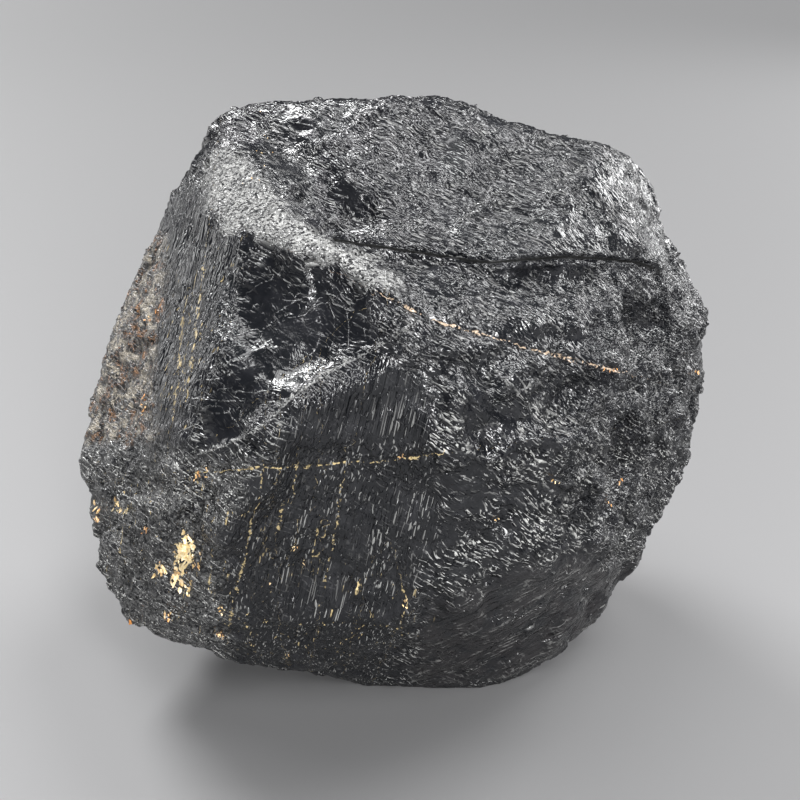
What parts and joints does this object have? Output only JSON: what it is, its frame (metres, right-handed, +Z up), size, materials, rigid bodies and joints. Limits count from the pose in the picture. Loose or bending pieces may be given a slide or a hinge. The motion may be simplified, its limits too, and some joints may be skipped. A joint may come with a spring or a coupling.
{
  "type": "raw black tourmaline",
  "caption": "Rough, broken lump of black tourmaline with a tilted top slab, an open cross fracture and long ribs, resting on a small flat spot; a display stone, doorstop or weight.",
  "frame": {"origin": "on the ground, under the middle of the lump's box", "axes": "+X to the right as seen from the front, along the lump's longest extent; +Y to the back; +Z up from the resting spot"},
  "size_m": [0.1492, 0.1232, 0.1345],
  "materials": {
    "tourmaline": "black, glassy on fresh breaks and satin on the ribs, with fine glints, pale mica and rusty patches",
    "mica": "pale gold, pearly flakes and thin veins grown into the black stone"
  },
  "bodies": {
    "root": {"tourmaline": "tourmaline"}
  },
  "joints": []
}
